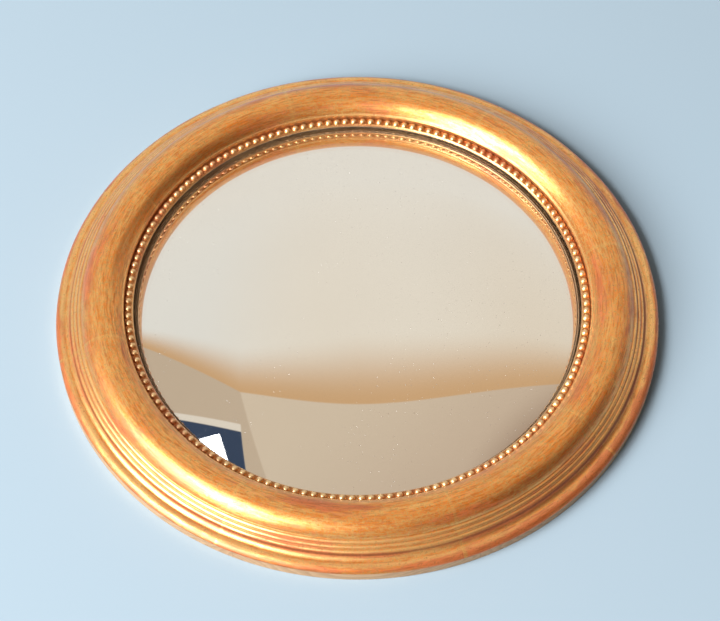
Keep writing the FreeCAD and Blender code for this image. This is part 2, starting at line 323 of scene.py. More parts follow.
def makeLeafLaps():
    # bands across the moulding where one leaf lies over the next
    v = leafValues
    tree, g, given, out = newGroup("leafLaps", {"Width mm": 3.0, "Wander mm": 1.5}, ["Laps"])
    place = g.place()
    x, y = g.parts(place)[:2]
    angle = g.math("ARCTAN2", y, x)
    turns = [g.minus(angle, math.radians(degrees)) for degrees in v["lapAngles"]]
    nearest = turns[0]
    for turn in turns[1:]:
        closer = g.math("LESS_THAN", g.math("ABSOLUTE", turn), g.math("ABSOLUTE", nearest))
        nearest = g.choose(closer, nearest, turn)
    waver = g.noise(place, v["waverScale"], 4.0, 0.6)
    shift = g.times(g.minus(waver, 0.5), given["Wander mm"])
    distance = g.plus(g.times(nearest, g.over(g.radius(place), mm)), shift)
    start = g.span(distance, -v["lapBlur"], v["lapBlur"])
    end = g.span(g.minus(given["Width mm"], distance), 0.0, v["lapFade"])
    g.feed(out["Laps"], g.times(start, end))
    return tree


ringStreaks = makeRingStreaks()
specks = makeSpecks()
leafLaps = makeLeafLaps()
print("shared effects made")


def streaksOf(g, length, width, seed):
    return g.group(ringStreaks, {"Length mm": length, "Width mm": width, "Seed": seed})


def specksOf(g, spacing, size, seed):
    return g.group(specks, {"Spacing mm": spacing, "Size": size, "Seed": seed})


# gilding: metal leaf over red bole, rubbed and toned
gildingValues = {
    "leafPale": (1.0, 0.585, 0.185),
    "leafDeep": (0.93, 0.28, 0.02),
    "boleRed": (0.68, 0.15, 0.045),
    "toning": (0.23, 0.066, 0.014),
    "bareGround": (0.78, 0.55, 0.36),
    "glint": (1.0, 0.82, 0.52),
    "varnish": 0.8,
    "varnishLost": 0.7,  # share of it that toned places lack
    "varnishRoughness": 0.34,
    "roughness": 0.34,
    "roughShares": (0.14, 0.16),  # what wear and grain add to it
    "coveredDull": 0.45,  # less metallic where bole or toning covers
    "grain": (620.0, 4.0, 0.75),  # scale, detail, roughness of the noise
    "flecks": (3.6, 0.26, 5.0),  # spacing, size, seed
    "toneShares": (0.35, 0.55, 2.4, 0.35),  # long streaks, fine streaks, grain, edges
    "toneSpan": (0.15, 0.75),
    "grainGlint": 0.3,
    "grainGlintSpan": (-0.02, -0.16),
    "rubShares": (1.0, 0.45, 0.55),  # patches, fine streaks, painted wear
    "rubSpan": (0.55, 1.05),
    "lapCover": 0.7,
    "lapPale": 0.55,
    "hollowToningAndShadeSpan": (0.15, 1.0),
    "stainGrain": 0.8,
    "stainSpan": (0.5, 1.0),
    "stainShare": 0.34,
    "darkSpan": (0.32, 0.85),
    "darkShare": 0.45,
    "darkLostOnEdge": 0.6,
    "grainSpan": (-0.02, 0.2),
    "grainShare": 0.6,
    "fleckShare": 0.35,
    "reliefShares": (0.5, 0.7, 0.5, -0.5),  # brush marks, fine streaks, grain, flecks
    "reliefDepth": 0.06,  # millimetres
}

# marks that run round the ring: (length, width, seed)
gildingStreaks = {
    "patches": (48.0, 11.0, 41.0),
    "stains": (30.0, 7.0, 67.0),
    "long": (34.0, 2.4, 3.0),
    "fine": (6.0, 1.1, 11.0),
    "dark": (9.0, 0.95, 29.0),
    "brush": (16.0, 0.5, 53.0),
}


def gildedMaterial(name, rubbed, toningAndShadeStrength, relief, glinting, laps):
    v = gildingValues
    material, g = newMaterial(name)
    edge, toningAndShade, bole, bare = (
        g.node("Attribute", output=2, attribute_name=label) for label in ("edge", "toningAndShade", "bole", "bare"))
    marks = {label: streaksOf(g, *sizes) for label, sizes in gildingStreaks.items()}
    flecks = specksOf(g, *v["flecks"])
    grain = g.noise(g.place(), *v["grain"])
    grainShift = g.minus(grain, 0.5)

    # leaf colour wanders from pale to deep
    tone = g.weighed(v["toneShares"], marks["long"], marks["fine"], grainShift, edge)
    leaf = g.mix(g.span(tone, *v["toneSpan"]), v["leafDeep"], v["leafPale"])
    # crests and pearl tops turn pale cream: partly rubbed bright metal, partly a painted highlight
    leaf = g.mix(g.times(edge, glinting), leaf, v["glint"])
    leaf = g.mix(g.times(g.span(grainShift, *v["grainGlintSpan"]), v["grainGlint"]), leaf, v["glint"])

    # bole shows where the leaf is rubbed, in patches and streaks
    worn = g.weighed(v["rubShares"], marks["patches"], g.minus(marks["fine"], 0.5), bole)
    rub = g.times(g.span(worn, *v["rubSpan"]), rubbed)
    if laps:
        lap = g.group(leafLaps, {"Width mm": leafValues["lapWidth"], "Wander mm": leafValues["lapWander"]})
        rub = g.times(rub, g.minus(1.0, g.times(lap, v["lapCover"])))
        leaf = g.mix(g.times(lap, v["lapPale"]), leaf, v["leafPale"])
    colour = g.mix(rub, leaf, v["boleRed"])

    # brown toning lies in the hollows, in stains, in fine dark streaks and in specks; on the moulding the
    # hollow values also carry painted shade, under the lip and on the side turned from the lamp
    hollowToningAndShade = g.times(g.span(g.plus(toningAndShade, grainShift), *v["hollowToningAndShadeSpan"]), toningAndShadeStrength)
    stained = g.plus(marks["stains"], g.times(grainShift, v["stainGrain"]))
    stain = g.times(g.span(stained, *v["stainSpan"]), v["stainShare"])
    dark = g.times(g.span(marks["dark"], *v["darkSpan"]), v["darkShare"])
    dark = g.times(dark, g.minus(1.0, g.times(edge, v["darkLostOnEdge"])))
    speckled = g.larger(
        g.times(g.span(grainShift, *v["grainSpan"]), v["grainShare"]), g.times(flecks, v["fleckShare"]))
    tint = g.larger(g.larger(hollowToningAndShade, dark), g.larger(stain, speckled))
    colour = g.mix(bare, g.mix(tint, colour, v["toning"]), v["bareGround"])

    covered = g.larger(rub, tint)
    metallic = g.minus(g.minus(1.0, g.times(covered, v["coveredDull"])), bare, clamp=True)
    height = g.weighed(v["reliefShares"], marks["brush"], marks["fine"], grain, flecks)
    surface(g, g.node("BsdfPrincipled", {
        "Base Color": colour,
        "Metallic": metallic,
        "Roughness": g.plus(v["roughness"], g.weighed(v["roughShares"], covered, grainShift)),
        "Normal": g.bump(height, relief, v["reliefDepth"]),
        "Coat Weight": g.math("MULTIPLY_ADD", tint, -v["varnishLost"] * v["varnish"], v["varnish"]),
        "Coat Roughness": v["varnishRoughness"]}))
    return material


# moulding: one turned, gilded coat from the lip to under the torus
mouldingValues = {
    "lipStart": 145.9,
    "lipRound": 1.1,
    "lipWidth": 1.1,
    "cushionWidth": 25.7,
    "reedCount": 3,
    "reedWidth": 2.3,
    "coveWidth": 3.3,
    "torusWidth": 6.25,
    "lowerEdge": (189.0, 6.5),
    "seatHeight": 13.7,
    "lipHeight": 18.5,
    "crestHeight": 26.8,
    "reedEndHeight": 13.0,
    "coveEndHeight": 9.9,
    "torusEndHeight": 7.0,
    "reedRise": 0.55,
    "coveSink": 0.5,
    "torusRise": 1.2,
    "counts": {"lip": 6, "cushion": 120, "reed": 14, "cove": 16, "torus": 30},  # points along each curve
    "coat": 0.6,
    "coatSpacing": 4,  # outline points for each one on the coat's inner face
    "spacing": 0.3,  # of the outline's points
    "softening": 1,  # in points
    "steps": 1080,  # round the ring
    "unevenness": 0.05,
    "waves": 14,
    "wavesRound": (2, 26),
    "waveLean": 0.12,
    "calmWidth": 3.0,  # over which the unevenness sets in, from the lip's foot
    "dentCount": 46,
    "dentStart": 4.0,  # along the outline
    "dentDepth": (0.04, 0.16),
    "dentSize": (0.4, 1.1),
    "dentStretch": (1.0, 2.6),
    "seed": 12,
}

# where the finish changes across the moulding: (radius, half width, strength)
mouldingWear = {
    # darkening: toning in the grooves, and painted shade on the wall under the lip at 145.8
    "toningAndShade": (
        (145.8, 0.3, 0.75), (147.6, 0.4, 0.35), (172.8, 0.6, 0.6), (175.1, 0.45, 0.6),
        (177.4, 0.45, 0.6), (179.7, 0.6, 0.85), (182.9, 0.45, 0.4), (189.1, 0.3, 0.4)),
    # crests made paler: partly rubbed bright metal, partly a painted highlight
    "edge": (
        (146.8, 0.4, 0.9), (173.9, 0.6, 0.8), (176.2, 0.6, 0.8), (178.5, 0.6, 0.8),
        (181.2, 1.1, 0.5), (185.2, 1.6, 0.6)),
    "bole": (
        (175.1, 0.7, 0.5), (177.4, 0.7, 0.5), (179.9, 0.9, 1.0), (188.0, 1.5, 1.0), (169.5, 2.6, 0.3)),
    "bare": ((145.8, 0.3, 0.12),),
}

# single places rubbed red, or darkened: the darkening is partly gathered toning and stains, partly painted
# shade on slopes turned from the lamp and in the reed grooves on the right
# (degrees from +X, radius, half length, half width, strength)
mouldingPatches = {
    "bole": (
        (176, 168.5, 34, 4.0, 0.95), (5, 150.5, 16, 2.4, 0.7), (96, 151.0, 26, 3.0, 0.5),
        (100, 168.0, 44, 2.6, 0.6), (268, 155.0, 30, 4.0, 0.45), (350, 151.5, 36, 4.0, 0.6),
        (313, 157.0, 2.0, 0.8, 1.0), (30, 166.0, 40, 4.0, 0.35), (128, 153.0, 30, 4.0, 0.4),
        (225, 170.0, 40, 2.5, 0.4), (330, 187.8, 90, 1.6, 0.6), (316, 185.2, 95, 2.2, 0.65),
        (205, 158.0, 26, 3.0, 0.35)),
    "toningAndShade": (
        (170, 153.0, 42, 3.2, 0.62), (150, 151.0, 30, 2.0, 0.5), (205, 151.5, 30, 2.0, 0.4),
        # the two at 12 degrees are painted shade in the reed grooves on the right side
        (12, 179.9, 130, 1.1, 0.8), (12, 175.1, 110, 0.5, 0.6), (15, 150.0, 50, 1.6, 0.35),
        (318, 165.0, 36, 3.5, 0.35), (120, 165.0, 30, 3.5, 0.3)),
}


def mouldingLine():
    v, counts = mouldingValues, mouldingValues["counts"]
    lip = v["lipHeight"]
    cushionStart = v["lipStart"] + v["lipWidth"]
    cushionEnd = cushionStart + v["cushionWidth"]
    reedEnd = cushionEnd + v["reedCount"] * v["reedWidth"]
    coveEnd = (reedEnd + v["coveWidth"], v["coveEndHeight"])
    torusEnd = (coveEnd[0] + v["torusWidth"], v["torusEndHeight"])
    share = 1 - math.sqrt(0.5)
    line = [np.array([[v["lipStart"], v["seatHeight"]]])]
    line.append(arcPoints(
        (v["lipStart"], lip - v["lipRound"]),
        (v["lipStart"] + share * v["lipRound"], lip - share * v["lipRound"]),
        (v["lipStart"] + v["lipRound"], lip), counts["lip"]))
    crest = ((cushionStart + cushionEnd) / 2, v["crestHeight"])
    line.append(arcPoints((cushionStart, lip), crest, (cushionEnd, lip), counts["cushion"]))
    drop = (lip - v["reedEndHeight"]) / v["reedCount"]
    for n in range(v["reedCount"]):
        start = (cushionEnd + n * v["reedWidth"], lip - n * drop)
        end = (start[0] + v["reedWidth"], start[1] - drop)
        line.append(bulge(start, end, v["reedRise"], counts["reed"]))
    line.append(bulge((reedEnd, v["reedEndHeight"]), coveEnd, -v["coveSink"], counts["cove"]))
    line.append(bulge(coveEnd, torusEnd, v["torusRise"], counts["torus"]))
    line.append(np.array([v["lowerEdge"]]))
    return np.vstack(line)


def turnsFrom(angle, where):
    # angles counted from a place on the ring, between minus and plus half a turn
    return (angle - where + math.pi) % math.tau - math.pi


def dentMap(angle, across, line):
    # small knocks, deeper in the middle
    v = mouldingValues
    pick = np.random.default_rng(v["seed"])
    depth = np.zeros((len(across), len(angle)))
    for _ in range(v["dentCount"]):
        where, place = pick.uniform(0, math.tau), pick.uniform(v["dentStart"], across[-1])
        size, deep = pick.uniform(*v["dentSize"]), pick.uniform(*v["dentDepth"])
        stretch = pick.uniform(*v["dentStretch"])
        around = turnsFrom(angle, where) * np.interp(place, across, line[:, 0]) / stretch
        away = around[None, :] ** 2 + (across[:, None] - place) ** 2
        depth += deep * np.exp(-away / size ** 2)
    return depth


def writeValues(piece, label, values):
    layer = piece.data.attributes.new(label, "FLOAT", "POINT")
    layer.data.foreach_set("value", np.asarray(values).astype(np.float32))


def makeMoulding(material):
    v = mouldingValues
    line = softened(evenly(mouldingLine(), v["spacing"]), v["softening"])
    out = normals(line)
    steps = np.linalg.norm(np.diff(line, axis=0), axis=1)
    across = np.concatenate([[0], np.cumsum(steps)])
    angle = np.arange(v["steps"]) * math.tau / v["steps"]
    lift = v["unevenness"] * wobble(
        angle[None, :], across[:, None], v["waves"], v["wavesRound"], v["waveLean"], v["seed"])
    lift -= dentMap(angle, across, line)
    lift *= np.clip(across / v["calmWidth"], 0, 1)[:, None]
    radius = line[:, :1] + out[:, :1] * lift
    height = line[:, 1:] + out[:, 1:] * lift
    top = np.stack([radius * np.cos(angle), radius * np.sin(angle), height], axis=-1)
    inside = line[::-v["coatSpacing"]] - out[::-v["coatSpacing"]] * v["coat"]
    under = turned(inside, v["steps"]).reshape(len(inside), v["steps"], 3)
    grid = np.concatenate([top, under])
    faces = ringFaces(len(grid), v["steps"])
    piece = addPiece("gildedMoulding", grid.reshape(-1, 3), faces, material, ["gesso_coat"])

    for label, places in mouldingWear.items():
        wear = np.zeros((len(line), v["steps"]))
        for middle, width, strength in places:
            wear += strength * np.exp(-((line[:, :1] - middle) / width) ** 2)
        for degrees, middle, length, width, strength in mouldingPatches.get(label, ()):
            along = turnsFrom(angle, math.radians(degrees)) * middle / length
            wear += strength * np.exp(-along ** 2 - ((line[:, :1] - middle) / width) ** 2)
        values = np.zeros(len(piece.data.vertices))
        values[:wear.size] = np.clip(wear, 0, 1).ravel()
        writeValues(piece, label, values)


makeMoulding(gildedMaterial("mouldingGilding", rubbed=0.8, toningAndShadeStrength=0.85, relief=0.6, glinting=0.2, laps=True))


# pearls: four cast lengths of beading, gilded with the frame
pearlValues = {
    "sightRadius": 140.3,
    "filletWidth": 1.0,
    "filletFoot": 0.2,
    "stripWidth": 5.3,
    "seatHeight": 13.7,
    "stripHeight": 1.4,
    "pearlRadius": 2.3,
    "pearlSink": 0.45,
    "pearlSetback": 3.05,
    "pearlsPerStrip": 40,
    "stripCount": 4,
    "stripGap": 0.15,
    "sides": 8,  # points along each side of a pearl's cell
    "rings": 9,  # over a pearl
    "shoulder": 72.0,  # where the pearl runs into its foot, degrees from the top
    "footWidth": 0.35,
    "footLimit": 0.9,  # of the way to the cell's rim
    "footBend": ((0.45, 0.30), (0.8, 0.06)),  # share of the foot's width, share of the height left
    "filletBend": 0.43,  # height of the fillet's middle under the strip's top
    "sizeSpread": 0.025,
    "placeSpread": 0.05,
    "sharp": 50,  # degrees
    "seed": 4,
}

# how the finish changes over a strip; the pearls' tops are made paler, partly as a painted highlight
pearlWear = {
    "edgePower": 1.5,
    "hollowReach": 0.3,  # of a pearl's height
    "bole": 0.4,
    "fillet": (0.3, 0.0, 0.15),  # edge, hollow and bole
    "ends": (0.3, 0.5, 0.3),
}


def pearlCell(pick, middleAngle, pitch):
    # a patch of the strip's top with one pearl, as rings of points from the top outwards
    v = pearlValues
    count = v["sides"]
    top = v["seatHeight"] + v["stripHeight"]
    inner = v["sightRadius"] + v["filletWidth"]
    outer = v["sightRadius"] + v["stripWidth"] - v["filletFoot"]
    middle = v["sightRadius"] + v["pearlSetback"]
    step = np.arange(count) / count
    one = np.ones(count)
    sides = [(step - 0.5, -one / 2), (one / 2, step - 0.5), (0.5 - step, one / 2), (-one / 2, 0.5 - step)]
    turn = np.concatenate([s[0] for s in sides]) * pitch
    share = np.concatenate([s[1] for s in sides]) + 0.5
    rim = np.column_stack([inner + share * (outer - inner), turn])
    size = v["pearlRadius"] * (1 + pick.normal(0, v["sizeSpread"]))
    shift = pick.normal(0, v["placeSpread"], 2)
    away = np.column_stack([rim[:, 0] - middle - shift[0], rim[:, 1] * middle - shift[1]])
    reach = np.linalg.norm(away, axis=1)
    away /= reach[:, None]
    rows = []
    for k in range(1, v["rings"] + 1):
        bend = math.radians(v["shoulder"]) * k / v["rings"]
        rows.append((np.full(len(reach), size * math.sin(bend)), size * math.cos(bend) - v["pearlSink"]))
    last, low = rows[-1]
    foot = np.minimum(last + v["footWidth"], last + v["footLimit"] * (reach - last))
    for outShare, heightShare in v["footBend"]:
        rows.append((last * (1 - outShare) + foot * outShare, low * heightShare))
    places = [np.array([[middle + shift[0], middleAngle + shift[1] / middle, top + size - v["pearlSink"]]])]
    heights = [size - v["pearlSink"]]
    for distance, rise in rows:
        at = away * distance[:, None]
        places.append(np.column_stack([
            middle + shift[0] + at[:, 0],
            middleAngle + (shift[1] + at[:, 1]) / middle,
            np.full(len(reach), top + rise)]))
        heights.append(rise)
    places.append(np.column_stack([rim[:, 0], middleAngle + rim[:, 1], np.full(len(rim), top)]))
    heights.append(0.0)
    return places, heights


def makePearlStrip(number, material):
    v, finish = pearlValues, pearlWear
    pick = np.random.default_rng(v["seed"] + number)
    stripTurn = math.tau / v["stripCount"]
    gap = v["stripGap"] / (v["sightRadius"] + v["stripWidth"])
    start = number * stripTurn + gap / 2
    pitch = (stripTurn - gap) / v["pearlsPerStrip"]
    ringSize = 4 * v["sides"]
    points, faces, wear = [], [], []
    for n in range(v["pearlsPerStrip"]):
        places, heights = pearlCell(pick, start + (n + 0.5) * pitch, pitch)
        base = len(points)
        for ring, rise in zip(places, heights):
            high = max(0.0, rise / heights[0])
            toningAndShade = max(0.0, 1 - high / finish["hollowReach"])
            points += ring.tolist()
            wear += [(high ** finish["edgePower"], toningAndShade, finish["bole"] * (1 - high))] * len(ring)
        for k in range(ringSize):
            faces.append([base, base + 1 + k, base + 1 + (k + 1) % ringSize])
        for row in range(len(places) - 2):
            first = base + 1 + row * ringSize
            for k in range(ringSize):
                beside = (k + 1) % ringSize
                faces.append([first + k, first + ringSize + k, first + ringSize + beside, first + beside])

    # fillet, sight edge, underside and outer wall, with the cells' own columns
    top = v["seatHeight"] + v["stripHeight"]
    inner, outer = v["sightRadius"], v["sightRadius"] + v["stripWidth"]
    outline = [
        (inner + v["filletWidth"], top),
        (inner + v["filletWidth"] / 2, top - v["stripHeight"] * v["filletBend"]),
        (inner, v["seatHeight"] + v["filletFoot"]),
        (inner, v["seatHeight"]),
        (outer, v["seatHeight"]),
        (outer, top - v["filletFoot"]),
        (outer - v["filletFoot"], top)]
    columns = v["pearlsPerStrip"] * v["sides"] + 1
    base = len(points)
    for radius, height in outline:
        points += [[radius, start + pitch * k / v["sides"], height] for k in range(columns)]
        wear += [finish["fillet"]] * columns
    for row in range(len(outline) - 1):
        for k in range(columns - 1):
            here = base + row * columns + k
            faces.append([here, here + 1, here + columns + 1, here + columns])
    for end in (0, columns - 1):
        cap = [base + row * columns + end for row in range(len(outline))]
        low, high = outline[0][0], outline[-1][0]
        turn = start + pitch * end / v["sides"]
        extra = [[high + (low - high) * k / v["sides"], turn, top] for k in range(1, v["sides"])]
        faces.append(cap + list(range(len(points), len(points) + len(extra))))
        points += extra
        wear += [finish["ends"]] * len(extra)

    polar = np.array(points)
    radius, turn, height = polar.T
    flat = np.column_stack([radius * np.cos(turn), radius * np.sin(turn), height])
    name, node = "pearlStrip" + str(number + 1), "pearl_strip_" + str(number + 1)
    piece = addPiece(name, flat, faces, material, [node], sharp=v["sharp"])
    order = nearestPoints(piece, flat)
    bare = height < v["seatHeight"] + 0.01
    for label, values in zip(("edge", "toningAndShade", "bole", "bare"), (*np.array(wear).T, bare)):
        writeValues(piece, label, values[order])


def nearestPoints(piece, flat):
    # the list's point that each point of the mesh was, because merging doubles changed the order
    tree = kdtree.KDTree(len(flat))
    for k, place in enumerate(flat):
        tree.insert(place * mm, k)
    tree.balance()
    return [tree.find(vertex.co)[1] for vertex in piece.data.vertices]


pearlGilding = gildedMaterial("pearlGilding", rubbed=0.7, toningAndShadeStrength=0.7, relief=0.35, glinting=0.7, laps=False)
for number in range(pearlValues["stripCount"]):
    makePearlStrip(number, pearlGilding)


# glass and its silvering: a bent disc, silvered behind
glassValues = {
    "radiusOfCurve": 310.0,
    "thickness": 4.0,
    "edgeRadius": 143.5,
    "arris": 0.4,
    "restRadius": 141.0,  # where the front face meets the rebate's shoulder
    "restHeight": 12.45,
    "coat": 0.2,
    "coatSetback": 0.4,
    "coatBond": 0.02,  # the coat's face lies this far inside the glass
    "rows": 72,
    "steps": 288,
    "colour": (0.985, 0.992, 0.985),
    "bending": 1.52,  # index of refraction
    "dust": (5.5, 0.11, 2.0),  # spacing, size, seed
    "dustRoughness": 0.45,
    "hazeScale": 30.0,
    "hazeSpan": (0.5, 0.8),
    "hazeRoughness": 0.02,
    "waveScale": 14.0,
    "waves": (0.15, 0.02),  # strength, depth in millimetres
}

silverValues = {
    "colour": (0.93, 0.92, 0.90),
    "colourPale": (0.95, 0.94, 0.92),
    "cloudScale": 12.0,
    "cloudSpan": (0.3, 0.7),
    "spotColour": (0.45, 0.38, 0.30),
    "spots": (16.0, 0.035, 8.0),  # spacing, size, seed
    "spotShare": 0.6,
    "dustColour": (0.84, 0.82, 0.77),
    "dust": (1.7, 0.24, 31.0),
    "dustPlaces": 16.0,  # scale of the patches with more of it
    "dustSpan": (0.38, 0.6),
    "dustShare": 0.7,
    "dustDull": 0.6,
    "roughness": 0.012,
    "markRoughness": 0.3,
}


def domeLine(radiusOfCurve, first, last, count):
    v = glassValues
    middle = v["restHeight"] - math.sqrt(v["radiusOfCurve"] ** 2 - v["restRadius"] ** 2)
    radius = np.linspace(first, last, count)
    return np.column_stack([radius, middle + np.sqrt(radiusOfCurve ** 2 - radius ** 2)])


def glassMaterial():
    v = glassValues
    material, g = newMaterial("bentGlass")
    dust = specksOf(g, *v["dust"])
    haze = g.span(g.noise(g.place(), v["hazeScale"], 3.0), *v["hazeSpan"])
    waves = g.noise(g.place(), v["waveScale"], 1.0)
    surface(g, g.node("BsdfPrincipled", {
        "Base Color": v["colour"],
        "Roughness": g.weighed((v["dustRoughness"], v["hazeRoughness"]), dust, haze),
        "IOR": v["bending"],
        "Transmission Weight": 1.0,
        "Normal": g.bump(waves, *v["waves"])}))
    return material


def silverMaterial():
    v = silverValues
    material, g = newMaterial("silvering")
    spots = specksOf(g, *v["spots"])
    cloud = g.span(g.noise(g.place(), v["cloudScale"], 2.0), *v["cloudSpan"])
    colour = g.mix(cloud, v["colour"], v["colourPale"])
    colour = g.mix(g.times(spots, v["spotShare"]), colour, v["spotColour"])
    patches = g.span(g.noise(g.place(), v["dustPlaces"], 2.0), *v["dustSpan"])
    dust = g.times(specksOf(g, *v["dust"]), g.times(patches, v["dustShare"]))
    surface(g, g.node("BsdfPrincipled", {
        "Base Color": g.mix(dust, colour, v["dustColour"]),
        "Metallic": g.minus(1.0, g.times(dust, v["dustDull"])),
        "Roughness": g.plus(v["roughness"], g.times(g.larger(spots, dust), v["markRoughness"]))}))
    return material


def makeGlass():
    v = glassValues
    ground = v["edgeRadius"] - v["arris"]
    front = domeLine(v["radiusOfCurve"], 0, ground, v["rows"])
    rear = domeLine(v["radiusOfCurve"] - v["thickness"], ground, 0, v["rows"])
    edge = np.array([[v["edgeRadius"], front[-1, 1] - v["arris"]], [v["edgeRadius"], rear[0, 1]]])
    outline = np.vstack([front, edge, rear])
    faces = ringFaces(len(outline), v["steps"], closed=False)
    disc = turned(outline, v["steps"])
    addPiece("bentGlass", disc, faces, glassMaterial(), ["mirror_glass"])

    rim = ground - v["coatSetback"]
    face = domeLine(v["radiusOfCurve"] - v["thickness"] + v["coatBond"], 0, rim, v["rows"])
    back = domeLine(v["radiusOfCurve"] - v["thickness"] - v["coat"], rim, 0, v["rows"])
    outline = np.vstack([face, back])
    faces = ringFaces(len(outline), v["steps"], closed=False)
    disc = turned(outline, v["steps"])
    addPiece("silverCoat", disc, faces, silverMaterial(), ["silvering"])


makeGlass()


# wood, board and metal behind
woodValues = {
    "pale": (0.62, 0.385, 0.21),
    "dark": (0.37, 0.21, 0.105),
    "segments": 8,
    "ringWidth": 2.2,
    "stretch": 14.0,
    "boardShift": 37.0,  # sets each segment's boards apart
    "ringTilt": 0.45,
    "ringBend": 9.0,
    "bendScale": 0.12,
    "lateSpan": (0.0, 0.85),
    "lateEnd": (0.9, 1.0),
    "poreSize": (22.0, 0.5),  # length, width
    "poreSpan": (0.3, 0.7),
    "stainScale": 25.0,
    "stainSpan": (0.4, 0.7),
    "toneShares": (0.45, 0.25, 0.25),  # grain, pores, stain
    "glueColour": (0.20, 0.11, 0.05),
    "glueWidth": 0.35,
    "glueShare": 0.55,
    "groundAndShadeColour": (0.40, 0.25, 0.14),
    "groundShare": 0.85,
    "groundRadius": 146.5,
    "groundHeight": 9.0,
    "roughness": 0.52,
    "poreRoughness": 0.14,
    "grainRelief": 0.5,
    "relief": (0.35, 0.06),  # strength, depth in millimetres
}


def makeSegmentGrain():
    # grain of straight boards glued into a ring: each segment has its own direction and its own boards
    v = woodValues
    sizes = {"Ring mm": v["ringWidth"], "Stretch": v["stretch"]}
    tree, g, given, out = newGroup("segmentGrain", sizes, ["Grain", "Pores", "Glue"])
    turn = math.tau / v["segments"]
    place = g.scaled(g.place(), 1 / mm)
    x, y, z = g.parts(place)
    angle = g.math("ARCTAN2", y, x)
    number = g.math("ROUND", g.over(angle, turn))
    middle = g.times(number, turn)
    cosine, sine = g.math("COSINE", middle), g.math("SINE", middle)
    along = g.minus(g.times(y, cosine), g.times(x, sine))
    outward = g.plus(g.times(x, cosine), g.times(y, sine))
    board = g.times(g.math("ABSOLUTE", number), v["boardShift"])
    spot = {"X": g.over(along, given["Stretch"]), "Y": g.plus(outward, board), "Z": z}
    bend = g.noise(g.node("CombineXYZ", spot), v["bendScale"], 2.0)
    rings = g.plus(g.plus(outward, g.times(z, v["ringTilt"])), g.times(bend, v["ringBend"]))
    wave = g.math("FRACT", g.over(g.plus(rings, board), given["Ring mm"]))
    g.feed(out["Grain"], g.times(g.span(wave, *v["lateSpan"]), g.outside(wave, *v["lateEnd"])))
    length, width = v["poreSize"]
    thin = {"X": g.over(along, length), "Y": g.over(outward, width), "Z": g.over(z, width)}
    pores = g.noise(g.node("CombineXYZ", thin), 1.0, 3.0, 0.6)
    g.feed(out["Pores"], g.span(pores, *v["poreSpan"], smooth=False))
    left = g.minus(turn / 2, g.math("ABSOLUTE", g.minus(angle, middle)))
    g.feed(out["Glue"], g.outside(g.times(left, g.radius(place)), 0.0, v["glueWidth"]))
    return tree


def woodMaterial():
    v = woodValues
    material, g = newMaterial("ringWood")
    grain = g.group(makeSegmentGrain())
    pores, glue = grain.node.outputs["Pores"], grain.node.outputs["Glue"]
    place = g.place()
    stain = g.span(g.noise(place, v["stainScale"], 4.0), *v["stainSpan"])
    tone = g.weighed(v["toneShares"], grain, pores, stain)
    colour = g.mix(tone, v["pale"], v["dark"])
    colour = g.mix(g.times(glue, v["glueShare"]), colour, v["glueColour"])
    # the ground of the gilding ran over into the rebate; its dark colour also stands in as painted shade
    # under the pearl strips
    within = g.math("LESS_THAN", g.radius(place), v["groundRadius"] * mm)
    above = g.math("GREATER_THAN", g.parts(place)[2], v["groundHeight"] * mm)
    colour = g.mix(g.times(g.times(within, above), v["groundShare"]), colour, v["groundAndShadeColour"])
    relief = g.minus(g.times(grain, v["grainRelief"]), pores)
    surface(g, g.node("BsdfPrincipled", {
        "Base Color": colour,
        "Roughness": g.plus(v["roughness"], g.times(pores, v["poreRoughness"])),
        "Normal": g.bump(relief, *v["relief"])}))
    return material


boardValues = {
    "dark": (0.15, 0.075, 0.035),
    "pale": (0.27, 0.15, 0.08),
    "cloudColour": (0.33, 0.20, 0.11),
    "flakeColour": (0.42, 0.28, 0.16),
    "fibreScale": 420.0,
    "fibreWarp": 1.5,
    "fibreSpan": (0.35, 0.65),
    "cloudScale": 24.0,
    "cloudSpan": (0.4, 0.7),
    "cloudShare": 0.35,
    "flakes": (1.4, 0.32, 14.0),  # spacing, size, seed
    "flakeShare": 0.5,
    "roughness": 0.42,
    "fibreRoughness": 0.2,
    "relief": (0.3, 0.05),  # strength, depth in millimetres
}


def boardMaterial():
    v = boardValues
    material, g = newMaterial("hardboard")
    fibres = g.noise(g.place(), v["fibreScale"], 5.0, 0.7, Distortion=v["fibreWarp"])
    cloud = g.span(g.noise(g.place(), v["cloudScale"], 4.0), *v["cloudSpan"])
    colour = g.mix(g.span(fibres, *v["fibreSpan"]), v["dark"], v["pale"])
    colour = g.mix(g.times(cloud, v["cloudShare"]), colour, v["cloudColour"])
    colour = g.mix(g.times(specksOf(g, *v["flakes"]), v["flakeShare"]), colour, v["flakeColour"])
    surface(g, g.node("BsdfPrincipled", {
        "Base Color": colour,
        "Roughness": g.plus(v["roughness"], g.times(fibres, v["fibreRoughness"])),
        "Normal": g.bump(fibres, *v["relief"])}))
    return material


corkValues = {
    "dark": (0.32, 0.18, 0.08),
    "pale": (0.60, 0.40, 0.22),
    "grainScale": 600.0,
    "roughness": 0.85,
    "relief": (0.5, 0.1),  # strength, depth in millimetres
}


def cellShade(g, scale):
    # one even value for each crystal or crumb
    return g.parts(g.node("TexVoronoi", {"Vector": g.scaled(g.place(), scale), "Scale": 1.0}, 1))[0]


def corkMaterial():
    v = corkValues
    material, g = newMaterial("cork")
    shade = cellShade(g, v["grainScale"])
    surface(g, g.node("BsdfPrincipled", {
        "Base Color": g.mix(shade, v["dark"], v["pale"]),
        "Roughness": v["roughness"],
        "Normal": g.bump(shade, *v["relief"])}))
    return material


